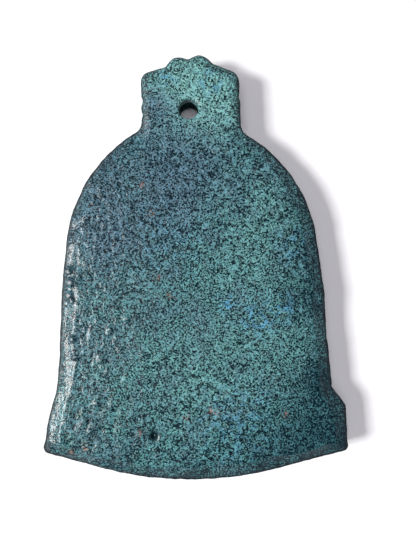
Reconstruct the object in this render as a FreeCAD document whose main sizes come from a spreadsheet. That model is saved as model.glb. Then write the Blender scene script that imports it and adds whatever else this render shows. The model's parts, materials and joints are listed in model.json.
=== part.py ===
"""Flat cast temple-bell plaque: one solid casting that lies on its relief, flat back face up.

Millimetres. +Y points to the crown, +Z is the outward normal of the flat back, X runs across.
The origin is the middle of the bounding box, on the plane that the front relief rests on.
The outline is drawn with its lowest point at Y = 0 and moved down by half the height at the end.
"""
import FreeCAD, Part
import math
import os

import Sketcher

os.makedirs("parts", exist_ok=True)

NODE = "bell_casting"

# Every driving dimension: cell alias, value in mm unless it says degrees, what it measures.
SIZES = [
    ("overall_height", 100.0, "lowest point of the mouth to the top of the crown"),
    ("mouth_width", 71.8, "across the two corners of the mouth"),
    ("casting_depth", 9.0, "front relief to flat back"),
    ("edge_round", 2.0, "radius of the back edge"),
    ("front_round", 1.4, "radius of the front edge"),
    # mouth and lip
    ("mouth_radius", 80.0, "curve of the mouth at its middle"),
    ("mouth_corner_extra", 0.3, "radius of the two mouth corners, more than edge_round"),
    ("left_mouth_slope", 16.0, "degrees that the mouth rises to its left corner"),
    ("right_mouth_slope", 13.4, "degrees that the mouth rises to its right corner"),
    ("lip_top_height", 17.0, "top of the upright lip on the right"),
    ("lip_lean", 0.3, "how far the lip leans in by its top"),
    ("lip_step_height", 21.2, "foot of the sloping step above the right lip"),
    ("left_flare_height", 21.4, "where the left side begins to flare"),
    ("left_flare_radius", 60.0, "swelling curve of the flare down the left lip"),
    ("step_round", 2.5, "radius of the two bends of the right step"),
    # body
    ("lip_flare", 3.3, "how far the mouth stands out beyond the body on each side"),
    ("foot_radius", 260.0, "hollow curve from foot to waist"),
    ("waist_draw", 1.45, "how far each side draws in from foot to waist"),
    ("waist_level", 55.6, "per cent of the way from the right step up to the dome to the waist"),
    ("shoulder_draw", 1.75, "how far each side draws in from waist to shoulder"),
    ("shoulder_radius", 230.0, "swelling curve from waist to shoulder"),
    ("shoulder_drop", 25.0, "start of the dome below the neck"),
    ("dome_radius", 33.6, "curve of the dome"),
    ("left_rise", 1.0, "how much higher the left half of the dome sits"),
    # crown
    ("crown_height", 18.2, "right neck corner to the top of the crown"),
    ("crown_width", 23.5, "crown between its sides"),
    ("crown_offset", 0.45, "middle of the crown to the right of the middle of the mouth"),
    ("crown_lean", 0.4, "how far the right side leans in by its top"),
    ("crown_shoulder_drop", 4.3, "outer corners of the crown below its top"),
    ("crown_corner_round", 2.6, "radius of those corners"),
    ("neck_round", 3.0, "radius of the hollow between dome and crown"),
    ("lobe_radius", 3.3, "the two lobes on top of the crown"),
    ("lobe_foot_angle", 20.8, "degrees above level at which a lobe meets the crown's shoulder"),
    ("lobe_notch_drop", 1.1, "notch between the lobes below the top"),
    ("left_lobe_drop", 0.3, "left lobe below the right one"),
    ("lobe_blend", 0.8, "radius of the hollows beside and between the lobes"),
    # holes in the back
    ("hole_diameter", 4.6, "hanging hole through the crown"),
    ("hole_drop", 13.0, "hanging hole below the top of the crown"),
    ("hole_offset", 0.1, "hanging hole to the left of the middle of the mouth"),
    ("pit_diameter", 1.7, "casting pit in the back"),
    ("pit_depth", 1.3, "depth of the pit"),
    ("pit_offset", 9.7, "pit to the left of the middle of the mouth"),
    ("pit_height", 10.9, "pit above the lowest point"),
    # relief on the front
    ("relief_depth", 1.2, "recessed fields below the front plane"),
    ("frame_width", 3.2, "raised frame along the outline"),
    ("post_width", 5.0, "raised belt down the middle"),
    ("relief_foot", 10.0, "lower edge of the lowest field above the lowest point"),
    ("relief_top_drop", 3.0, "upper edge of the highest field below the right neck corner"),
    ("lip_field_top", 8.7, "per cent of the relief's height below the top of the lip field"),
    ("low_field_foot", 17.4, "per cent below the foot of the narrow field above the lip"),
    ("low_field_top", 26.9, "per cent below its top"),
    ("panel_foot", 37.1, "per cent below the foot of the large plain panel"),
    ("panel_top", 58.9, "per cent below its top"),
    ("stud_field_foot", 64.0, "per cent below the foot of the stud field"),
    ("stud_field_top", 86.9, "per cent below its top"),
    ("dome_field_foot", 91.3, "per cent below the foot of the dome field"),
    ("stud_field_draw", 8.4, "how far each side draws in from the shoulder to the stud field's top"),
    ("dome_field_draw", 15.4, "how far each side draws in from the shoulder to the dome field's top"),
    ("seat_radius", 6.8, "striking seat, centred on the middle belt"),
    ("seat_ring", 3.4, "middle of the round-bottomed groove of the seat"),
    ("seat_groove", 0.6, "section radius of that groove"),
    ("petal_ring", 5.3, "middle of the petal hollows of the seat"),
    ("petal_length", 1.1, "half length of one petal hollow, outwards"),
    ("petal_width", 0.9, "half width of one petal hollow"),
    ("petal_depth", 0.5, "depth of one petal hollow"),
    ("stud_top_radius", 1.0, "flat end of a stud"),
    ("stud_foot_radius", 1.6, "stud where it leaves its field"),
    ("crown_field_rise", 2.2, "crown field, lower edge above the right neck corner"),
    ("crown_field_drop", 6.0, "crown field, upper edge below the top of the crown"),
    ("collar_radius", 4.6, "middle of the raised collar around the hanging hole"),
    ("collar_section", 1.0, "section radius of the collar"),
    ("head_width", 1.6, "half width of the two rounded ends of the crown's loop"),
    ("head_length", 3.2, "half length of those ends"),
    ("head_offset", 7.4, "those ends from the middle of the crown"),
]

PETALS = 8
STUD_ROWS = 3
STUD_COLUMNS = 3
CUT_MARGIN = 1.0  # mm that a cutting tool runs past the face it enters by

doc = FreeCAD.newDocument("bell_plaque")


def make_sheet():
    """Put every driving dimension in a cell with an alias, and what it measures beside it."""
    table = doc.addObject("Spreadsheet::Sheet", "sizes")
    for row, (alias, value, meaning) in enumerate(SIZES, start=1):
        table.set(f"A{row}", meaning)
        table.set(f"B{row}", str(value))
        table.setAlias(f"B{row}", alias)
    doc.recompute()
    return table


sheet = make_sheet()


def value_of(expression):
    """The present value of an expression over the sheet's cells."""
    return float(sheet.evalExpression(expression))


def bind(item, **expressions):
    """Bind properties of an object to expressions, given as PROPERTY=expression."""
    for name, expression in expressions.items():
        item.setExpression(name.replace("__", "."), expression)


def place(item, x="0", y="0", z="0"):
    """Bind an object's position to expressions."""
    bind(item, Placement__Base__x=x, Placement__Base__y=y, Placement__Base__z=z)


# ---------------------------------------------------------------- outline

def mouth_corner_height(slope):
    """Height of a mouth corner: up the curve until it has that slope, then straight on."""
    angle = f"sizes.{slope} * 1 deg"
    curve_rise = f"sizes.mouth_radius * (1 - cos({angle}))"
    straight_run = f"(sizes.mouth_width / 2 - sizes.mouth_radius * sin({angle}))"
    return f"{curve_rise} + {straight_run} * tan({angle})"


RIGHT_NECK = "sizes.overall_height - sizes.crown_height"
SHOULDER = f"{RIGHT_NECK} - sizes.shoulder_drop"
STRAIGHT_SIDE = f"({SHOULDER} - sizes.lip_step_height)"
WAIST = f"sizes.lip_step_height + sizes.waist_level / 100 * {STRAIGHT_SIDE}"
CROWN_CORNER = "sizes.overall_height - sizes.crown_shoulder_drop"

# Half widths of the plate, from the mouth upwards.
MOUTH_REACH = "sizes.mouth_width / 2"
FOOT_REACH = f"{MOUTH_REACH} - sizes.lip_flare"
WAIST_REACH = f"{FOOT_REACH} - sizes.waist_draw"
SHOULDER_REACH = f"{WAIST_REACH} - sizes.shoulder_draw"
CROWN_REACH = "sizes.crown_width / 2"

# Corners of the outline, anticlockwise from the right mouth corner: name, x, y.
CORNERS = {
    "right_mouth": (MOUTH_REACH, mouth_corner_height("right_mouth_slope")),
    "lip_top": (f"{MOUTH_REACH} - sizes.lip_lean", "sizes.lip_top_height"),
    "step_foot": (FOOT_REACH, "sizes.lip_step_height"),
    "right_waist": (WAIST_REACH, WAIST),
    "right_shoulder": (SHOULDER_REACH, SHOULDER),
    "right_neck": (f"sizes.crown_offset + {CROWN_REACH}", RIGHT_NECK),
    "right_crown": (f"sizes.crown_offset + {CROWN_REACH} - sizes.crown_lean", CROWN_CORNER),
    "left_crown": (f"sizes.crown_offset - {CROWN_REACH}", CROWN_CORNER),
    "left_neck": (f"sizes.crown_offset - {CROWN_REACH}", f"{RIGHT_NECK} + sizes.left_rise"),
    "left_shoulder": (f"-({SHOULDER_REACH})", f"{SHOULDER} + sizes.left_rise"),
    "left_waist": (f"-({WAIST_REACH})", WAIST),
    "flare_top": (f"-({FOOT_REACH})", "sizes.left_flare_height"),
    "left_mouth": (f"-({MOUTH_REACH})", mouth_corner_height("left_mouth_slope")),
}

# Stretches between neighbouring corners: a radius that swells outwards, or hollow, or a line.
RIGHT_SIDE = [
    ("right_mouth", "lip_top", None, 1),
    ("lip_top", "step_foot", None, 1),
    ("step_foot", "right_waist", "sizes.foot_radius", -1),
    ("right_waist", "right_shoulder", "sizes.shoulder_radius", 1),
    ("right_shoulder", "right_neck", "sizes.dome_radius", 1),
    ("right_neck", "right_crown", None, 1),
]
LEFT_SIDE = [
    ("left_crown", "left_neck", None, 1),
    ("left_neck", "left_shoulder", "sizes.dome_radius", 1),
    ("left_shoulder", "left_waist", "sizes.shoulder_radius", 1),
    ("left_waist", "flare_top", "sizes.foot_radius", -1),
    ("flare_top", "left_mouth", "sizes.left_flare_radius", 1),
]


def point_of(x, y):
    """Where a pair of expressions lies now."""
    return FreeCAD.Vector(value_of(x), value_of(y), 0)


def corner_point(name):
    """Where a corner of the outline lies now."""
    return point_of(*CORNERS[name])


def arc_through(start, end, radius, side):
    """The short arc from start to end, swelling to the right of the way (side 1) or left (-1)."""
    chord = end - start
    half = chord.Length / 2
    rise = radius - math.sqrt(radius * radius - half * half)
    outwards = FreeCAD.Vector(chord.y, -chord.x, 0).normalize()
    middle = (start + end) / 2 + outwards * rise * side
    return Part.Arc(start, middle, end)


class Outline:
    """A sketch that is drawn stretch by stretch, each bound to cells of the sheet."""

    def __init__(self, sketch):
        self.sketch = sketch
        self.first = None
        self.last = None

    def end_at(self, geometry, point):
        """Which end of a stretch lies at a point: 1 for its start, 2 for its end."""
        gaps = [(self.sketch.getPoint(geometry, end) - point).Length for end in (1, 2)]
        return 1 if gaps[0] < gaps[1] else 2

    def size(self, kind, arguments, expression):
        """Add a dimension that follows an expression."""
        value = value_of(expression)
        index = self.sketch.addConstraint(Sketcher.Constraint(kind, *arguments, value))
        self.sketch.setExpression(f"Constraints[{index}]", expression)

    def pin(self, geometry, end, x=None, y=None):
        """Fix a point of a stretch across, or along the height, or both."""
        if x is not None:
            self.size("DistanceX", (-1, 1, geometry, end), x)
        if y is not None:
            self.size("DistanceY", (-1, 1, geometry, end), y)

    def add(self, curve, start, end, tangent=False):
        """Add a stretch and join it to the one before it."""
        geometry = self.sketch.addGeometry(curve, False)
        begins = (geometry, self.end_at(geometry, start))
        if self.last is None:
            self.first = begins
        else:
            relation = "Tangent" if tangent else "Coincident"
            self.sketch.addConstraint(Sketcher.Constraint(relation, *self.last, *begins))
        self.last = (geometry, self.end_at(geometry, end))
        return geometry

    def close(self):
        """Join the last stretch to the first one."""
        self.sketch.addConstraint(Sketcher.Constraint("Coincident", *self.last, *self.first))

    def side(self, stretches):
        """Draw a run of stretches between named corners."""
        for begin, finish, radius, bulge in stretches:
            start, end = corner_point(begin), corner_point(finish)
            if radius is None:
                geometry = self.add(Part.LineSegment(start, end), start, end)
            else:
                curve = arc_through(start, end, value_of(radius), bulge)
                geometry = self.add(curve, start, end)
                self.size("Radius", (geometry,), radius)
            self.pin(geometry, self.end_at(geometry, start), *CORNERS[begin])
        self.pin(*self.last, *CORNERS[stretches[-1][1]])


NOTCH = "sizes.overall_height - sizes.lobe_notch_drop"
LOBE_TOP = {1: "sizes.overall_height", -1: "sizes.overall_height - sizes.left_lobe_drop"}


def lobe_centre(side):
    """Middle of the right (1) or left (-1) lobe: it passes through the notch and touches its top."""
    depth = f"({LOBE_TOP[side]} - ({NOTCH}))"
    x = f"{side} * sqrt({depth} * (2 * sizes.lobe_radius - {depth}))"
    return x, f"{LOBE_TOP[side]} - sizes.lobe_radius"


def lobe_foot(side):
    """Where a lobe meets the shoulder of the crown."""
    x, y = lobe_centre(side)
    across = f"{side} * sizes.lobe_radius * cos(sizes.lobe_foot_angle * 1 deg)"
    return f"{x} + {across}", f"{y} + sizes.lobe_radius * sin(sizes.lobe_foot_angle * 1 deg)"


def draw_crown_top(outline):
    """Right shoulder of the crown, its two lobes with their notch, and its left shoulder."""
    notch = point_of("0", NOTCH)
    foot = {side: point_of(*lobe_foot(side)) for side in (1, -1)}
    corner = {1: corner_point("right_crown"), -1: corner_point("left_crown")}

    def lobe(side, start, end):
        top = point_of(lobe_centre(side)[0], LOBE_TOP[side])
        geometry = outline.add(Part.Arc(start, top, end), start, end)
        outline.size("Radius", (geometry,), "sizes.lobe_radius")
        outline.pin(geometry, outline.end_at(geometry, foot[side]), *lobe_foot(side))
        return geometry

    outline.add(Part.LineSegment(corner[1], foot[1]), corner[1], foot[1])
    right_lobe = lobe(1, foot[1], notch)
    outline.pin(right_lobe, outline.end_at(right_lobe, notch), "0", NOTCH)
    lobe(-1, notch, foot[-1])
    outline.add(Part.LineSegment(foot[-1], corner[-1]), foot[-1], corner[-1])


def draw_mouth(outline):
    """Two straight stretches that touch the curve of the mouth at its middle."""
    radius = value_of("sizes.mouth_radius")
    centre = FreeCAD.Vector(0, radius, 0)

    def touch_point(corner, side):
        reach = corner - centre
        turn = math.acos(radius / reach.Length) * side
        direction = math.atan2(reach.y, reach.x) + turn
        return centre + FreeCAD.Vector(math.cos(direction), math.sin(direction), 0) * radius

    left, right = corner_point("left_mouth"), corner_point("right_mouth")
    left_touch, right_touch = touch_point(left, 1), touch_point(right, -1)
    outline.add(Part.LineSegment(left, left_touch), left, left_touch)
    middle = Part.Arc(left_touch, FreeCAD.Vector(0, 0, 0), right_touch)
    arc = outline.add(middle, left_touch, right_touch, tangent=True)
    outline.size("Radius", (arc,), "sizes.mouth_radius")
    outline.pin(arc, 3, "0", "sizes.mouth_radius")
    outline.add(Part.LineSegment(right_touch, right), right_touch, right, tangent=True)


def lobe_hollows():
    """The hollow corners beside and between the lobes."""
    return [point_of(*lobe_foot(1)), point_of(*lobe_foot(-1)), point_of("0", NOTCH)]


def draw_outline(sketch):
    """The whole outline, closed."""
    outline = Outline(sketch)
    outline.side(RIGHT_SIDE)
    draw_crown_top(outline)
    outline.side(LEFT_SIDE)
    draw_mouth(outline)
    outline.close()
    doc.recompute()


# ---------------------------------------------------------------- casting blank


def origin_plane(body, role):
    """One of a body's own origin planes."""
    return next(plane for plane in body.Origin.OriginFeatures if plane.Role == role)


def new_sketch(body, name, height="0"):
    """A sketch parallel to the body's XY plane at a height."""
    sketch = body.newObject("Sketcher::SketchObject", name)
    sketch.AttachmentSupport = [(origin_plane(body, "XY_Plane"), "")]
    sketch.MapMode = "FlatFace"
    bind(sketch, AttachmentOffset__Base__z=height)
    return sketch


def upright_edges(shape, corners):
    """Names of the wall edges that rise at given corners of the outline."""
    rise = value_of("sizes.casting_depth") / 2
    found = []
    for corner in corners:
        gaps = {}
        for index, edge in enumerate(shape.Edges, start=1):
            low, high = edge.Vertexes[0].Point, edge.Vertexes[-1].Point
            if abs(high.z - low.z) > rise:
                gaps[index] = math.hypot(low.x - corner.x, low.y - corner.y)
        found.append(f"Edge{min(gaps, key=gaps.get)}")
    return found


def level_face(shape, height):
    """Name of the largest level face at a height."""
    areas = {}
    for index, face in enumerate(shape.Faces, start=1):
        box = face.BoundBox
        if box.ZLength < 1e-6 and abs(box.ZMin - height) < 1e-6:
            areas[index] = face.Area
    return f"Face{max(areas, key=areas.get)}"


def round_off(body, name, base, references, radius):
    """A fillet on named edges or faces of the feature before it."""
    fillet = body.newObject("PartDesign::Fillet", name)
    fillet.Base = (base, references)
    bind(fillet, Radius=radius)
    doc.recompute()
    return fillet


def sink(body, name, x, y, diameter, depth):
    """A round hole sunk from the back face; no depth means right through."""
    sketch = new_sketch(body, f"{name}_circle", "sizes.casting_depth")
    circle = Part.Circle()
    circle.Radius = value_of(diameter) / 2
    circle.Center = FreeCAD.Vector(value_of(x), value_of(y), 0)
    outline = Outline(sketch)
    geometry = sketch.addGeometry(circle, False)
    outline.size("Diameter", (geometry,), diameter)
    outline.pin(geometry, 3, x, y)
    pocket = body.newObject("PartDesign::Pocket", name)
    pocket.Profile = sketch
    if depth is None:
        pocket.Type = "ThroughAll"
    else:
        bind(pocket, Length=depth)
    doc.recompute()
    return pocket


HOLE_X = "-sizes.hole_offset"
HOLE_Y = "sizes.overall_height - sizes.hole_drop"


def make_blank():
    """The plate with its rounded corners and edges, its hanging hole and its casting pit."""
    body = doc.addObject("PartDesign::Body", "blank")
    outline = new_sketch(body, "outline")
    draw_outline(outline)
    plate = body.newObject("PartDesign::Pad", "plate")
    plate.Profile = outline
    bind(plate, Length="sizes.casting_depth")
    doc.recompute()

    radius_of_corners = {
        "step_bends": ("sizes.step_round", ["lip_top", "step_foot"]),
        "neck_hollows": ("sizes.neck_round", ["right_neck", "left_neck"]),
        "crown_corners": ("sizes.crown_corner_round", ["right_crown", "left_crown"]),
        "mouth_corners": (
            "sizes.edge_round + sizes.mouth_corner_extra",
            ["right_mouth", "left_mouth"],
        ),
    }
    feature = plate
    for name, (radius, corners) in radius_of_corners.items():
        edges = upright_edges(feature.Shape, [corner_point(corner) for corner in corners])
        feature = round_off(body, name, feature, edges, radius)
    edges = upright_edges(feature.Shape, lobe_hollows())
    feature = round_off(body, "lobe_hollows", feature, edges, "sizes.lobe_blend")

    back = level_face(feature.Shape, value_of("sizes.casting_depth"))
    feature = round_off(body, "back_edge", feature, [back], "sizes.edge_round")
    front = level_face(feature.Shape, 0)
    round_off(body, "front_edge", feature, [front], "sizes.front_round")

    sink(body, "hanging_hole", HOLE_X, HOLE_Y, "sizes.hole_diameter", None)
    sink(
        body,
        "casting_pit",
        "-sizes.pit_offset",
        "sizes.pit_height",
        "sizes.pit_diameter",
        "sizes.pit_depth",
    )
    return body


# ---------------------------------------------------------------- relief on the front


BELT_REACH = "sizes.post_width / 2"
RELIEF_HEIGHT = f"({RIGHT_NECK} - sizes.relief_top_drop - sizes.relief_foot)"


def level(name):
    """Height of a field's edge, given in the sheet as per cent of the relief's height."""
    return f"(sizes.relief_foot + sizes.{name} / 100 * {RELIEF_HEIGHT})"


STUD_FIELD_REACH = f"{SHOULDER_REACH} - sizes.stud_field_draw"
DOME_FIELD_REACH = f"{SHOULDER_REACH} - sizes.dome_field_draw"

# The recessed fields: name, lower edge, upper edge, half width of the plate at each of them.
FIELDS = [
    ("lip_field", "sizes.relief_foot", level("lip_field_top"), MOUTH_REACH, FOOT_REACH),
    ("low_field", level("low_field_foot"), level("low_field_top"), FOOT_REACH, WAIST_REACH),
    ("panel", level("panel_foot"), level("panel_top"), WAIST_REACH, SHOULDER_REACH),
    (
        "stud_field",
        level("stud_field_foot"),
        level("stud_field_top"),
        SHOULDER_REACH,
        STUD_FIELD_REACH,
    ),
    (
        "dome_field",
        level("dome_field_foot"),
        f"{RIGHT_NECK} - sizes.relief_top_drop",
        STUD_FIELD_REACH,
        DOME_FIELD_REACH,
    ),
]


def make_field(name, low, high, low_from, low_to, high_from, high_to):
    """One tool with four straight sides that sinks a field into the front."""
    tool = doc.addObject("Part::Wedge", name)
    bind(tool, Ymin=low, Ymax=high, Xmin=low_from, Xmax=low_to, X2min=high_from, X2max=high_to)
    tool.Zmin = tool.Z2min = -CUT_MARGIN
    bind(tool, Zmax="sizes.relief_depth", Z2max="sizes.relief_depth")
    return tool


def make_fields():
    """Every field, left and right of the middle belt, and the one of the crown."""
    tools = []
    for name, low, high, low_plate, high_plate in FIELDS:
        low_reach = f"{low_plate} - sizes.frame_width"
        high_reach = f"{high_plate} - sizes.frame_width"
        right = [BELT_REACH, low_reach, BELT_REACH, high_reach]
        left = [f"-({reach})" for reach in (low_reach, BELT_REACH, high_reach, BELT_REACH)]
        tools.append(make_field(f"right_{name}", low, high, *right))
        tools.append(make_field(f"left_{name}", low, high, *left))
    reach = f"{CROWN_REACH} - sizes.frame_width / 2"
    sides = [f"sizes.crown_offset - ({reach})", f"sizes.crown_offset + {reach}"]
    low = f"{RIGHT_NECK} + sizes.crown_field_rise"
    high = "sizes.overall_height - sizes.crown_field_drop"
    tools.append(make_field("crown_field", low, high, *sides, *sides))
    return tools


def make_studs():
    """Blunt studs, evenly spread over the height and the narrow edge of both stud fields."""
    studs = []
    pitch_x = f"({STUD_FIELD_REACH} - sizes.frame_width - {BELT_REACH}) / {STUD_COLUMNS}"
    foot = level("stud_field_foot")
    pitch_y = f"({level('stud_field_top')} - {foot}) / {STUD_ROWS}"
    for side in (-1, 1):
        for row in range(STUD_ROWS):
            for column in range(STUD_COLUMNS):
                stud = doc.addObject("Part::Cone", "stud")
                bind(
                    stud,
                    Radius1="sizes.stud_top_radius",
                    Radius2="sizes.stud_foot_radius",
                    Height="sizes.relief_depth",
                )
                across = f"{side} * ({BELT_REACH} + ({column} + 0.5) * {pitch_x})"
                along = f"{foot} + ({row} + 0.5) * {pitch_y}"
                place(stud, across, along)
                studs.append(stud)
    return studs


SEAT_Y = f"({level('low_field_top')} + {level('panel_foot')}) / 2"


def make_seat():
    """The round striking seat on the middle belt."""
    seat = doc.addObject("Part::Cylinder", "striking_seat")
    bind(seat, Radius="sizes.seat_radius", Height="sizes.relief_depth")
    place(seat, y=SEAT_Y)
    return seat


def make_seat_hollows():
    """The groove of the striking seat and the ring of petals around it."""
    groove = doc.addObject("Part::Torus", "seat_groove")
    bind(groove, Radius1="sizes.seat_ring", Radius2="sizes.seat_groove")
    place(groove, y=SEAT_Y)
    hollows = [groove]
    for index in range(PETALS):
        turn = index * 360 / PETALS
        petal = doc.addObject("Part::Ellipsoid", "petal")
        bind(
            petal,
            Radius1="sizes.petal_depth",
            Radius2="sizes.petal_length",
            Radius3="sizes.petal_width",
        )
        petal.Placement = FreeCAD.Placement(
            FreeCAD.Vector(), FreeCAD.Rotation(FreeCAD.Vector(0, 0, 1), turn)
        )
        x = f"sizes.petal_ring * cos({turn} deg)"
        y = f"{SEAT_Y} + sizes.petal_ring * sin({turn} deg)"
        place(petal, x, y)
        hollows.append(petal)
    return hollows


def make_crown_relief():
    """A raised collar around the hanging hole and the two rounded ends of the crown's loop."""
    collar = doc.addObject("Part::Torus", "collar")
    bind(collar, Radius1="sizes.collar_radius", Radius2="sizes.collar_section")
    place(collar, HOLE_X, HOLE_Y, "sizes.relief_depth")
    raised = [collar]
    for side in (-1, 1):
        head = doc.addObject("Part::Ellipsoid", "loop_end")
        bind(
            head,
            Radius1="sizes.relief_depth",
            Radius2="sizes.head_width",
            Radius3="sizes.head_length",
        )
        across = f"sizes.crown_offset + {side} * sizes.head_offset"
        place(head, across, HOLE_Y, "sizes.relief_depth")
        raised.append(head)
    return raised


def join(name, members):
    """One shape from several."""
    group = doc.addObject("Part::MultiFuse", name)
    group.Shapes = members
    return group


def cut(name, base, tool):
    """What is left of a base once the tool is taken away."""
    result = doc.addObject("Part::Cut", name)
    result.Base = base
    result.Tool = tool
    return result


def make_casting():
    """The whole casting, in the frame of the part."""
    carved = cut("carved", make_blank(), join("field_tools", make_fields()))
    raised = join("raised", [carved, *make_studs(), make_seat(), *make_crown_relief()])
    casting = cut(NODE, raised, join("seat_hollows", make_seat_hollows()))
    casting.Label = NODE
    place(casting, y="-sizes.overall_height / 2")
    doc.recompute()
    return casting


def check(casting):
    """Stop if any object failed, or if the casting is not one sound solid."""
    failed = [item.Name for item in doc.Objects if {"Invalid", "Error"} & set(item.State)]
    if failed:
        raise RuntimeError(f"failed objects: {failed}")
    shape = casting.Shape
    if shape.isNull() or not shape.isValid() or len(shape.Solids) != 1:
        raise RuntimeError(f"{casting.Label} is not one valid solid")
    box = shape.optimalBoundingBox(False, False)
    print(f"{casting.Label}: {box.XLength:.2f} x {box.YLength:.2f} x {box.ZLength:.2f} mm")
    print(f"x {box.XMin:.2f}..{box.XMax:.2f}, y {box.YMin:.2f}..{box.YMax:.2f}, z from {box.ZMin:.2f}")
    print(f"volume {shape.Volume:.0f} mm3")


def main():
    """Build the casting, check it and write its file."""
    casting = make_casting()
    check(casting)
    casting.Shape.exportStep(f"parts/{casting.Label}.step")


main()
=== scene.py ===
"""Looks of the flat cast temple-bell plaque: its cast skin, its verdigris, and a pale studio.

Metres, in the frame of the CAD model: the casting lies on its relief, flat back face up (+Z), crown
towards +Y. MM turns the sizes below, which are in millimetres, into metres. A place on the casting is
given by how far it is right of the middle line (left is negative) and above the mouth.
"""
import json
import math

import bpy
import numpy as np
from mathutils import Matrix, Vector, noise
from mathutils.kdtree import KDTree


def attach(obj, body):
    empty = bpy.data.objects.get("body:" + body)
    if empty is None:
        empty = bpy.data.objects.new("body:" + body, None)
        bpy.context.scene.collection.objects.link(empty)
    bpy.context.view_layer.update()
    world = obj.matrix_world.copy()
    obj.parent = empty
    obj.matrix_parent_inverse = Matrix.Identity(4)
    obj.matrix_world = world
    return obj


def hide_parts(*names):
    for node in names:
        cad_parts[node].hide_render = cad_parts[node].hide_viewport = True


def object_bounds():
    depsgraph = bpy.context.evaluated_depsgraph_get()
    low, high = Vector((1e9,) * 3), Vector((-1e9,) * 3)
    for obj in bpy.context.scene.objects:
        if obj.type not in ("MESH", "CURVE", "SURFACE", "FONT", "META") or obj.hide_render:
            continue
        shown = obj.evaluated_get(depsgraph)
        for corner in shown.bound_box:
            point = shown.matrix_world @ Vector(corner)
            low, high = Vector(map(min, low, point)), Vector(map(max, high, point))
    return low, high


MM = 0.001
NODE = "bell_casting"

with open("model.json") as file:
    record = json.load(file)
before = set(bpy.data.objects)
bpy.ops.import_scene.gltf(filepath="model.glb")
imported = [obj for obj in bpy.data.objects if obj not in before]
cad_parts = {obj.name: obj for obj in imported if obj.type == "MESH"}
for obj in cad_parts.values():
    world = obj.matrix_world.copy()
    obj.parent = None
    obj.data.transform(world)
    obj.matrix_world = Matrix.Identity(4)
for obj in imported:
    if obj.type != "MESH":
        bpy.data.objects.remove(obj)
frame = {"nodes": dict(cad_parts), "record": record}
cad_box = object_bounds()
LOW, HIGH = (Vector(corner) for corner in cad_box)
MIDDLE = (LOW + HIGH) / 2
MOUTH = LOW.y  # the lowest point of the mouth
BACK = HIGH.z  # the flat back face
HOLE = next(mount for mount in frame["record"]["mounts"] if mount["name"] == "hanging_hole")
HOLE_ZONE = HOLE["dims"]["r_mm"] + 1.0  # mm from the hole's axis to just outside its bore

ROUGH_LEFT = (-26.0, 4.0)  # mm right of the middle line, over which the rough left part ends

# ---------------------------------------------------------------- helpers on arrays of points


def smooth_step(values, start, end):
    """0 before start, 1 after end, smooth between them."""
    ratio = np.clip((values - start) / (end - start), 0.0, 1.0)
    return ratio * ratio * (3 - 2 * ratio)


def noise_at(points, wavelength, seed):
    """Smooth noise from -1 to 1 at points. wavelength is one size in mm, or one for each axis."""
    scaled = points / (np.asarray(wavelength, float) * MM) + seed
    return np.array([noise.noise(Vector(point)) for point in scaled])


def blob(points, x, y, radius):
    """1 at a place on the casting, given in mm, and 0 well away from it."""
    offset = points[:, :2] - np.array([x * MM, MOUTH + y * MM])
    return np.exp(-np.sum(offset**2, axis=1) / (radius * MM) ** 2)


def left_share(points):
    """1 on the rougher left of the casting, 0 right of its middle."""
    start, end = ROUGH_LEFT
    return 1 - smooth_step(points[:, 0], start * MM, end * MM)


# ---------------------------------------------------------------- cast skin

VOXEL = 0.395  # mm between the points of the skin
RELAX_ROUNDS = 3  # smoothing that takes the voxel steps out
RELAX_STRENGTH = 0.5
WALL_TILT = 0.56  # a face whose normal leans further from vertical than this belongs to the wall
CRUSTED_BORE = 3.0  # mm of the bore, from the back, that has the crust of the back
WALL_BAND = 1.5  # mm above and below the middle of the depth, where the outline is measured
UPRIGHT = 0.3  # the most that the normal of an upright wall rises or falls
BACK_RISE = (0.2, 0.8)  # rise of the normal where the back's waves begin, and where they are full
WALL_RISE = (0.3, 0.9)  # rise or fall of the normal where the wall's waves start to fade, and end

# Unevenness of the cast surface: where it is, height in mm, how much higher it is on the left, the
# wavelength in mm, and a seed that makes each layer a different one.
WAVES = [
    ("back", 0.12, 0.0, 15, 3.0),  # broad waves of a casting that was never machined
    ("back", 0.03, 0.06, (1.8, 4.4, 3.0), 11.0),  # wrinkles that run up the body
    ("back", 0.03, 0.11, (0.78, 1.25, 1.4), 23.0),  # and finer ones
    ("all", 0.03, 0.0, 0.95, 37.0),  # grain of the sand
    ("wall", 0.16, 0.0, (4.5, 4.5, 9.0), 41.0),  # the outline wanders a little
    ("wall", 0.09, 0.0, (1.8, 1.8, 1.4), 53.0),  # and the wall is rougher than the back
]
# Lumps of dross on the back, in mm: place, radius, height.
LUMPS = [
    (-28.9, 49.6, 0.75, 0.75),
    (-28.5, 47.0, 1.0, 0.95),
    (-28.9, 44.0, 0.95, 0.90),
    (-28.2, 42.6, 0.6, 0.60),
    (-15.4, 38.4, 0.5, 0.45),
    (-19.4, 35.9, 0.55, 0.50),
    (-28.2, 33.8, 0.65, 0.50),
    (-21.7, 29.0, 0.6, 0.45),
    (-27.6, 29.6, 0.5, 0.40),
    (-22.9, 18.8, 0.6, 0.45),
    (-24.6, 12.3, 0.55, 0.40),
]
# Changes of the outline, in mm: place, radius, and how far out. A nick is below zero.
OUTLINE_CHANGES = [
    (-11.4, 89.4, 0.8, -0.55),  # nicks in the sides of the crown
    (-11.4, 86.2, 0.7, -0.35),
    (12.0, 90.2, 0.9, -0.30),
    (-5.6, 96.6, 0.8, -0.30),
    (32.2, 21.4, 1.0, -0.30),  # hollow bend of the right step
    (35.7, 6.7, 1.2, 0.45),  # corners of the mouth
    (-35.7, 7.5, 1.2, 0.40),
]
PIT = (-9.7, 10.9)  # mm, as in the CAD model

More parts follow.
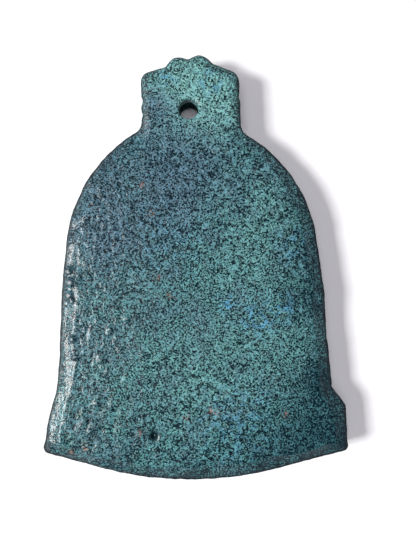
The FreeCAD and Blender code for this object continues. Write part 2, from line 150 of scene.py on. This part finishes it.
# The worn margin of the back, which slopes down to the outline.
EDGE_ROUND = 2.0  # mm, radius of the back edge, as in the CAD model
BEVEL_WIDTH = 3.7  # mm, along the body
CROWN_BEVEL = 1.6  # mm, along the crown
CROWN_BLEND = (78.0, 86.0)  # mm above the mouth, between the one width and the other
BEVEL_SLOPE = 0.40  # how steeply the margin falls towards the edge
BEVEL_START = 0.8  # mm over which it begins to fall
WIDTH_WANDER = (0.25, 6.0, 61.0)  # share, wavelength in mm and seed
SLOPE_WANDER = (0.35, (2.6, 3.4, 3.0), 67.0)


def remeshed_casting():
    """A copy of the CAD casting as an even mesh of small quads."""
    mesh = frame["nodes"][NODE].data.copy()
    skin = bpy.data.objects.new("cast_skin", mesh)
    bpy.context.scene.collection.objects.link(skin)
    even = skin.modifiers.new("even", "REMESH")
    even.mode = "VOXEL"
    even.voxel_size = VOXEL * MM
    even.use_smooth_shade = True
    relax = skin.modifiers.new("relax", "SMOOTH")
    relax.factor = RELAX_STRENGTH
    relax.iterations = RELAX_ROUNDS
    graph = bpy.context.evaluated_depsgraph_get()
    finished = bpy.data.meshes.new_from_object(skin.evaluated_get(graph), depsgraph=graph)
    skin.modifiers.clear()
    skin.data = finished
    return skin


def read_points(mesh):
    """Positions and normals of a mesh's points."""
    points = np.empty(len(mesh.vertices) * 3)
    mesh.vertices.foreach_get("co", points)
    normals = np.empty(len(mesh.vertices) * 3)
    mesh.vertex_normals.foreach_get("vector", normals)
    return points.reshape(-1, 3), normals.reshape(-1, 3)


def distance_to_wall(points, normals):
    """How far each point is from the nearest outer wall, seen from above, in metres."""
    from_hole = np.linalg.norm(points[:, :2] - np.array(HOLE["pos_m"][:2]), axis=1)
    middle_height = np.abs(points[:, 2] - MIDDLE.z) < WALL_BAND * MM
    upright = np.abs(normals[:, 2]) < UPRIGHT
    wall = points[(from_hole > HOLE_ZONE * MM) & middle_height & upright]
    tree = KDTree(len(wall))
    for index, point in enumerate(wall):
        tree.insert((point[0], point[1], 0), index)
    tree.balance()
    return np.array([tree.find((x, y, 0))[2] for x, y, _ in points])


def cast_relief(points, normals):
    """Height in mm that the cast surface stands above the smooth CAD surface."""
    shares = {
        "back": smooth_step(normals[:, 2], *BACK_RISE),
        "wall": 1 - smooth_step(np.abs(normals[:, 2]), *WALL_RISE),
        "all": 1.0,
    }
    left = left_share(points)
    height = np.zeros(len(points))
    for where, rise, left_rise, wavelength, seed in WAVES:
        height += (rise + left_rise * left) * noise_at(points, wavelength, seed) * shares[where]
    for where, places in (("back", LUMPS), ("wall", OUTLINE_CHANGES)):
        for x, y, radius, rise in places:
            height += rise * blob(points, x, y, radius) * shares[where]
    return height


def wandering(points, share, wavelength, seed):
    """A factor that wanders around 1 by up to a share."""
    return 1 + share * noise_at(points, wavelength, seed)


def bevel_drop(points, rim):
    """How far in mm the worn margin of the back has sunk below the round edge of the CAD model."""
    crown = smooth_step(points[:, 1], *(MOUTH + height * MM for height in CROWN_BLEND))
    width = BEVEL_WIDTH + (CROWN_BEVEL - BEVEL_WIDTH) * crown
    inside = np.clip(width * wandering(points, *WIDTH_WANDER) - rim / MM, 0, None)
    slope = BEVEL_SLOPE * wandering(points, *SLOPE_WANDER)
    margin = slope * inside * smooth_step(inside, 0, BEVEL_START)
    reach = np.clip(EDGE_ROUND - rim / MM, 0, EDGE_ROUND)
    round_edge = EDGE_ROUND - np.sqrt(EDGE_ROUND**2 - reach**2)
    sunk = np.clip(margin - round_edge, 0, None)
    return sunk * smooth_step(points[:, 2], MIDDLE.z, BACK - EDGE_ROUND * MM)


def give_materials(mesh):
    """Crust on the back, the front and the start of the bore, and worn metal on the other walls."""
    mesh.materials.clear()
    mesh.materials.append(verdigris())
    mesh.materials.append(dark_wall())
    hole = Vector(HOLE["pos_m"])
    for face in mesh.polygons:
        in_bore = (face.center - hole).xy.length < HOLE_ZONE * MM
        crusted = in_bore and face.center.z > BACK - CRUSTED_BORE * MM
        steep = abs(face.normal.z) < WALL_TILT
        face.material_index = int(steep and not crusted)


def make_skin():
    """The casting's visible surface."""
    skin = remeshed_casting()
    points, normals = read_points(skin.data)
    rim = distance_to_wall(points, normals)
    moved = points + normals * (cast_relief(points, normals) * MM)[:, None]
    moved[:, 2] -= bevel_drop(points, rim) * MM
    moved[:, 2] = np.clip(moved[:, 2], LOW.z, None)
    skin.data.vertices.foreach_set("co", moved.ravel())
    skin.data.update()
    paint_zones(skin.data, points, rim)
    give_materials(skin.data)
    return skin


# ---------------------------------------------------------------- zones of the patina

# Broad patches, in mm: place, radius, and how much of the layer there is.
PATCHES = {
    "light": [
        (0, 92, 11, 1.0),
        (7, 86, 7, 0.5),
        (13, 50, 11, 0.2),
        (20, 30, 12, 0.25),
        (2, 22, 12, 0.3),
        (-20, 30, 12, 0.1),
        (20, 62, 9, 0.3),
    ],
    "slate": [
        (-9, 88, 5, 0.6),
        (-14, 68, 15, 0.9),
        (2, 75, 12, 0.6),
        (-24, 55, 10, 0.7),
        (-27, 35, 8, 0.5),
    ],
    "blue": [
        (5.0, 93.0, 2.4, 0.9),
        (-4.5, 94.4, 1.8, 0.8),
        (8.4, 41.4, 2.2, 0.9),
        (15.0, 38.0, 3.4, 1.0),
        (21.3, 40.5, 3.0, 0.8),
        (24.0, 55.0, 4.0, 0.5),
        (10.0, 13.0, 8.0, 0.5),
        (-6.0, 56.0, 7.0, 0.2),
    ],
    "dark": [
        (30, 9, 12, 1.0),
        (30, 24, 7, 0.7),
        (31, 44, 9, 0.8),
        (28, 62, 8, 0.6),
        # Painted shade along the margin of the mouth.
        (-33, 6, 5, 0.4),
        (-18, 2, 5, 0.5),
        (0, 0, 5, 0.6),
        (15, 2, 6, 0.5),
    ],
}
# Places with rust dots, in mm.
RUST_PLACES = [
    (-11.2, 69.4),
    (-9.2, 62.9),
    (-8.1, 47.9),
    (-5.3, 43.6),
    (-28.7, 24.1),
    (-13.0, 11.7),
    (-2.0, 15.2),
    (3.7, 16.6),
    (5.3, 15.8),
    (21.0, 15.5),
    (-29.0, 7.5),
    (-25.7, 8.3),
]
RUST_RADIUS = 0.6  # mm
PIT_RADIUS = 1.3  # mm, of the dark crust in and around the pit
PIT_STRENGTH = 1.4  # more than 1, so that the whole pit is dark
ZONE_WANDER = [(0.35, 9.0, 71.0), (0.2, 4.0, 83.0)]  # share, wavelength in mm and seed
# The painted highlight on a lump's top and the painted shadow on its right, away from the key light,
# in radii of the lump.
LUMP_HIGHLIGHT = 0.65
LUMP_SHADOW = 1.3
SHADOW_RIGHT = 0.9
SHADOW_DOWN = 0.2  # mm
BARE_MARGIN = (0.15, 1.1)  # mm from the outline, over which the bare edge ends
THIN_MARGIN = (1.0, 3.4)  # mm from the outline, over which the thin crust of the margin ends


def store(mesh, name, values):
    """Keep one number from 0 to 1 at each point of the mesh, for the material to read."""
    layer = mesh.attributes.new(name, "FLOAT", "POINT")
    layer.data.foreach_set("value", np.clip(values, 0, 1).astype(np.float32))


def near_outline(rim, band):
    """1 at the outline, 0 beyond a band given in mm."""
    start, end = band
    return 1 - smooth_step(rim, start * MM, end * MM)


def paint_zones(mesh, points, rim):
    """The layers that the verdigris reads."""
    wander = sum(share * noise_at(points, wavelength, seed) for share, wavelength, seed in ZONE_WANDER)
    for name, patches in PATCHES.items():
        amount = sum(weight * blob(points, x, y, radius) for x, y, radius, weight in patches)
        store(mesh, name, amount * (1 + wander))
    store(mesh, "edge", near_outline(rim, BARE_MARGIN))
    store(mesh, "margin", near_outline(rim, THIN_MARGIN))
    store(mesh, "left", left_share(points))
    store(mesh, "rust", sum(blob(points, x, y, RUST_RADIUS) for x, y in RUST_PLACES))
    store(mesh, "hollow", PIT_STRENGTH * blob(points, *PIT, PIT_RADIUS) * (points[:, 2] > MIDDLE.z))
    # Painted highlight on each lump's top.
    painted_highlights = sum(blob(points, x, y, LUMP_HIGHLIGHT * radius) for x, y, radius, _ in LUMPS)
    # Painted shadow on the right of each lump, away from the key light.
    painted_shadows = sum(
        blob(points, x + SHADOW_RIGHT * radius, y - SHADOW_DOWN, LUMP_SHADOW * radius)
        for x, y, radius, _ in LUMPS
    )
    store(mesh, "lump_painted_highlight", painted_highlights)
    store(mesh, "lump_painted_shadow", painted_shadows - painted_highlights)


# ---------------------------------------------------------------- materials


class Nodes:
    """Short calls that add nodes to a material and link them."""

    def __init__(self, name):
        self.material = bpy.data.materials.new(name)
        self.material.use_nodes = True
        self.tree = self.material.node_tree
        self.shader = self.tree.nodes["Principled BSDF"]
        self.place = self.tree.nodes.new("ShaderNodeTexCoord").outputs["Object"]

    def link(self, source, target):
        """Feed a socket from another socket or with a plain value."""
        if isinstance(source, bpy.types.NodeSocket):
            self.tree.links.new(source, target)
        else:
            target.default_value = source

    def noise(self, wavelength, detail=2.0, roughness=0.5, distortion=0.0):
        """Noise with one wavelength in mm, from 0 to 1."""
        node = self.tree.nodes.new("ShaderNodeTexNoise")
        self.link(self.place, node.inputs["Vector"])
        node.inputs["Scale"].default_value = 1 / (wavelength * MM)
        node.inputs["Detail"].default_value = detail
        node.inputs["Roughness"].default_value = roughness
        node.inputs["Distortion"].default_value = distortion
        return node.outputs["Fac"]

    def grains(self, wavelength):
        """A random number for each grain of a packed crust, from 0 to 1."""
        node = self.tree.nodes.new("ShaderNodeTexVoronoi")
        self.link(self.place, node.inputs["Vector"])
        node.inputs["Scale"].default_value = 1 / (wavelength * MM)
        return node.outputs["Color"]

    def ramp(self, source, start, end):
        """0 below start, 1 above end."""
        node = self.tree.nodes.new("ShaderNodeMapRange")
        node.interpolation_type = "SMOOTHSTEP"
        self.link(source, node.inputs["Value"])
        node.inputs["From Min"].default_value = start
        node.inputs["From Max"].default_value = end
        return node.outputs["Result"]

    def math(self, operation, first, second):
        """One sum on two numbers."""
        node = self.tree.nodes.new("ShaderNodeMath")
        node.operation = operation
        self.link(first, node.inputs[0])
        self.link(second, node.inputs[1])
        return node.outputs[0]

    def times(self, first, second):
        """Two numbers multiplied."""
        return self.math("MULTIPLY", first, second)

    def plus(self, first, second):
        """Two numbers added."""
        return self.math("ADD", first, second)

    def minus(self, first, second):
        """The second number taken from the first."""
        return self.math("SUBTRACT", first, second)

    def layer(self, name):
        """One of the numbers that the mesh keeps at its points."""
        node = self.tree.nodes.new("ShaderNodeAttribute")
        node.attribute_name = name
        return node.outputs["Fac"]

    def mix(self, amount, below, above):
        """Colour above laid over colour below."""
        node = self.tree.nodes.new("ShaderNodeMix")
        node.data_type = "RGBA"
        self.link(amount, node.inputs["Factor"])
        self.link(below, node.inputs["A"])
        self.link(above, node.inputs["B"])
        return node.outputs["Result"]

    def bump(self, height, distance):
        """Relief that is too fine for the mesh. distance is in mm."""
        node = self.tree.nodes.new("ShaderNodeBump")
        node.inputs["Distance"].default_value = distance * MM
        self.link(height, node.inputs["Height"])
        self.link(node.outputs["Normal"], self.shader.inputs["Normal"])

    def surface(self, colour, roughness, specular):
        """What the shader shows."""
        self.link(colour, self.shader.inputs["Base Color"])
        self.link(roughness, self.shader.inputs["Roughness"])
        self.link(specular, self.shader.inputs["Specular IOR Level"])


def srgb(red, green, blue):
    """Linear colour with alpha from an everyday 0 to 255 one."""

    def linear(channel):
        share = channel / 255
        return share / 12.92 if share <= 0.04045 else ((share + 0.055) / 1.055) ** 2.4

    return (linear(red), linear(green), linear(blue), 1.0)


# Grains of the crust, what shows between them (also painted as shadow beside the lumps), and what lies
# over them.
TEAL = srgb(98, 160, 158)
GREY_TEAL = srgb(96, 142, 148)
PALE_TEAL = srgb(140, 202, 192)
SLATE = srgb(94, 124, 142)
BLUE = srgb(92, 168, 206)
BROWN_GREY = srgb(98, 96, 96)
DEEP_GREEN = srgb(30, 76, 84)
GAPS_AND_SHADOW = srgb(0, 24, 34)
RUST = srgb(156, 100, 74)
# Painted highlight on the tops of the lumps.
PAINTED_HIGHLIGHT = srgb(196, 200, 200)
# Bare metal of the edge, and what is left of the crust on the wall.
BARE_EDGE = srgb(14, 21, 28)
BROWN_EDGE = srgb(58, 46, 38)
WALL_TEAL = srgb(52, 100, 102)
FLOOR_WHITE = (0.86, 0.86, 0.87, 1.0)

# Sizes of the crust's pattern, in mm, from coarse to fine.
CLOUD = 6.0
PATCH = 1.8
BROWN_SPOT = 1.1
PEEL = 0.7
SHADE = 0.62
RUST_GRAIN = 0.5
GRAIN = 0.38
FLECK = 0.22
CRUST_BUMP = 0.10  # mm deep
# Sizes of the wall's pattern, in mm.
WALL_CLOUD = 4.0
WALL_BROWN = 2.4
WALL_GRAIN = 0.5
WALL_BUMP = 0.08  # mm deep


def crust_colour(n, patchy):
    """Colour of the grains: teal, with a tint in each zone and a shade for each grain."""
    clouds = n.noise(CLOUD, detail=3, roughness=0.6)
    colour = n.mix(n.ramp(clouds, 0.38, 0.62), TEAL, GREY_TEAL)
    colour = n.mix(n.layer("light"), colour, PALE_TEAL)
    colour = n.mix(n.times(n.layer("slate"), 0.9), colour, SLATE)
    blue = n.times(n.ramp(patchy, 0.45, 0.58), n.plus(n.layer("blue"), 0.10))
    colour = n.mix(blue, colour, BLUE)
    brown = n.ramp(n.noise(BROWN_SPOT), 0.57, 0.68)
    colour = n.mix(n.times(brown, 0.45), colour, BROWN_GREY)
    # The dark layer is partly painted shade, along the mouth.
    colour = n.mix(n.times(n.layer("dark"), 0.8), colour, DEEP_GREEN)
    shade = n.ramp(n.grains(SHADE), 0.15, 0.85)
    return n.mix(n.times(shade, 0.5), colour, DEEP_GREEN)


def crust_cover(n, patchy, grain):
    """1 on the grains, 0 in the gaps. They thin out in patches, in dark zones and at the edge."""
    cover = n.plus(n.times(n.minus(patchy, 0.5), 0.35), grain)
    cover = n.minus(cover, n.times(n.layer("margin"), 0.04))
    cover = n.plus(cover, n.times(n.layer("light"), 0.05))
    cover = n.minus(cover, n.times(n.layer("dark"), 0.04))
    flecks = n.ramp(n.noise(FLECK, detail=0), 0.34, 0.56)
    return n.times(n.ramp(cover, 0.40, 0.60), n.plus(n.times(flecks, 0.5), 0.5))


def crust_marks(n, patchy, colour):
    """What lies over the crust: the bare edge, rust, the dark pit, a painted highlight on each lump's
    top and a painted shadow on its right.
    """
    worn = n.times(n.layer("edge"), n.ramp(patchy, 0.25, 0.5))
    colour = n.mix(n.times(worn, 0.9), colour, BARE_EDGE)
    rust = n.times(n.layer("rust"), n.ramp(n.noise(RUST_GRAIN, detail=1), 0.50, 0.58))
    colour = n.mix(n.times(rust, 0.75), colour, RUST)
    colour = n.mix(n.times(n.layer("hollow"), 0.95), colour, GAPS_AND_SHADOW)
    # Painted shadow on the right of each lump.
    colour = n.mix(n.times(n.layer("lump_painted_shadow"), 0.75), colour, GAPS_AND_SHADOW)
    # Painted highlight on the lumps' tops.
    top = n.ramp(n.layer("lump_painted_highlight"), 0.35, 0.9)
    return n.mix(n.times(top, 0.45), colour, PAINTED_HIGHLIGHT)


def crust_roughness(n, grain):
    """Glossy crust, duller on the bare edge, and on the margin except at the left."""
    dull_margin = n.times(n.layer("margin"), n.minus(1.0, n.layer("left")))
    rough = n.plus(n.times(grain, 0.25), 0.19)
    rough = n.plus(rough, n.times(n.layer("edge"), 0.5))
    return n.plus(rough, n.times(dull_margin, 0.3))


def verdigris():
    """Blue-green crust of fine grains over dark metal, thin and dark along the edge."""
    n = Nodes("verdigris")
    patchy = n.noise(PATCH, detail=3, roughness=0.6, distortion=0.3)
    grain = n.noise(GRAIN, detail=1, roughness=0.6)
    colour = n.mix(crust_cover(n, patchy, grain), GAPS_AND_SHADOW, crust_colour(n, patchy))
    colour = crust_marks(n, patchy, colour)
    n.surface(colour, crust_roughness(n, grain), specular=0.52)
    peel = n.times(n.noise(PEEL), n.plus(n.layer("left"), 0.2))
    n.bump(n.plus(n.times(grain, 0.6), peel), CRUST_BUMP)
    return n.material


def dark_wall():
    """Worn metal of the side wall and the bore, with remains of the crust."""
    n = Nodes("dark_wall")
    remains = n.ramp(n.noise(WALL_GRAIN, roughness=0.6), 0.42, 0.60)
    thick = n.ramp(n.noise(WALL_CLOUD, detail=3, roughness=0.6), 0.30, 0.65)
    remains = n.times(remains, n.plus(n.times(thick, 0.6), 0.35))
    colour = n.mix(remains, BARE_EDGE, WALL_TEAL)
    brown = n.ramp(n.noise(WALL_BROWN, detail=3), 0.58, 0.75)
    colour = n.mix(n.times(brown, 0.35), colour, BROWN_EDGE)
    n.surface(colour, roughness=0.8, specular=0.08)
    n.bump(n.noise(WALL_GRAIN), WALL_BUMP)
    return n.material


def white_floor():
    """Plain pale floor."""
    n = Nodes("white_floor")
    n.surface(FLOOR_WHITE, roughness=0.9, specular=0.1)
    return n.material


# ---------------------------------------------------------------- studio

LENS = 35.1  # mm
SENSOR = 36.0  # mm
CAMERA_ABOVE = 127.0  # mm above the widest outline of the casting
WIDEST_OUTLINE = 2.5  # mm below the back face
CAMERA_SHIFT = (3.6, -1.7)  # mm from the middle of the casting
CAMERA_TURN = -1.1  # degrees
CAMERA_CLIP = 5.0  # mm, nearer than anything it sees
FLOOR_SIZE = 16.0  # m

# Lamps: azimuth and elevation in degrees, distance and side in m, power in W.
KEY = {"azimuth": 188, "elevation": 45, "distance": 1.0, "side": 0.26, "power": 12.4}
KEY_COLOUR = (1.0, 0.99, 0.97)
OVERHEAD = {"azimuth": 80, "elevation": 86, "distance": 1.0, "side": 0.7, "power": 5.2}
OVERHEAD_COLOUR = (0.97, 0.94, 1.0)

SKY_COLOUR = (0.94, 0.93, 1.0, 1.0)
SKY_AT_HORIZON = 0.85  # strength
SKY_OVERHEAD = 0.05
SKY_FADE = (0.08, 0.55)  # sine of the elevation, between the one strength and the other


def make_floor():
    """A wide pale sheet under the casting."""
    bpy.ops.mesh.primitive_plane_add(size=FLOOR_SIZE, location=(MIDDLE.x, MIDDLE.y, LOW.z))
    floor = bpy.context.object
    floor.name = "floor"
    floor.data.materials.append(white_floor())


def make_lamp(name, colour, azimuth, elevation, distance, side, power):
    """A soft square lamp that faces the casting. Azimuth 0 is +X, 90 is +Y."""
    data = bpy.data.lights.new(name, "AREA")
    data.shape = "SQUARE"
    data.size = side
    data.energy = power
    data.color = colour
    lamp = bpy.data.objects.new(name, data)
    bpy.context.scene.collection.objects.link(lamp)
    turn, rise = math.radians(azimuth), math.radians(elevation)
    away = Vector((math.cos(rise) * math.cos(turn), math.cos(rise) * math.sin(turn), math.sin(rise)))
    lamp.location = MIDDLE + away * distance
    lamp.rotation_euler = away.to_track_quat("Z", "Y").to_euler()
    return lamp


def make_sky():
    """Pale at the horizon for the side views, and dim overhead, where the back would reflect it."""
    world = bpy.data.worlds.new("sky")
    bpy.context.scene.world = world
    world.use_nodes = True
    tree = world.node_tree
    direction = tree.nodes.new("ShaderNodeTexCoord").outputs["Generated"]
    split = tree.nodes.new("ShaderNodeSeparateXYZ")
    tree.links.new(direction, split.inputs["Vector"])
    glow = tree.nodes.new("ShaderNodeMapRange")
    glow.interpolation_type = "SMOOTHSTEP"
    tree.links.new(split.outputs["Z"], glow.inputs["Value"])
    glow.inputs["From Min"].default_value, glow.inputs["From Max"].default_value = SKY_FADE
    glow.inputs["To Min"].default_value = SKY_AT_HORIZON
    glow.inputs["To Max"].default_value = SKY_OVERHEAD
    background = tree.nodes["Background"]
    background.inputs["Color"].default_value = SKY_COLOUR
    tree.links.new(glow.outputs["Result"], background.inputs["Strength"])


def make_lights():
    """Key light from the left, and a broad soft one overhead that leaves no glare on the back."""
    make_lamp("key", KEY_COLOUR, **KEY)
    overhead = make_lamp("overhead", OVERHEAD_COLOUR, **OVERHEAD)
    overhead.visible_glossy = False


def make_camera():
    """Straight above the back face, as a hand-held picture of it would be taken."""
    data = bpy.data.cameras.new("camera")
    data.lens = LENS
    data.sensor_width = SENSOR
    data.clip_start = CAMERA_CLIP * MM
    camera = bpy.data.objects.new("camera", data)
    bpy.context.scene.collection.objects.link(camera)
    shift_x, shift_y = (value * MM for value in CAMERA_SHIFT)
    height = BACK + (CAMERA_ABOVE - WIDEST_OUTLINE) * MM
    camera.location = (MIDDLE.x + shift_x, MIDDLE.y + shift_y, height)
    camera.rotation_euler = (0, 0, math.radians(CAMERA_TURN))
    bpy.context.scene.camera = camera
    bpy.context.scene.view_settings.view_transform = "Standard"


make_camera()
make_floor()
make_lights()
make_sky()
skin = make_skin()
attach(skin, "root")
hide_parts(NODE)
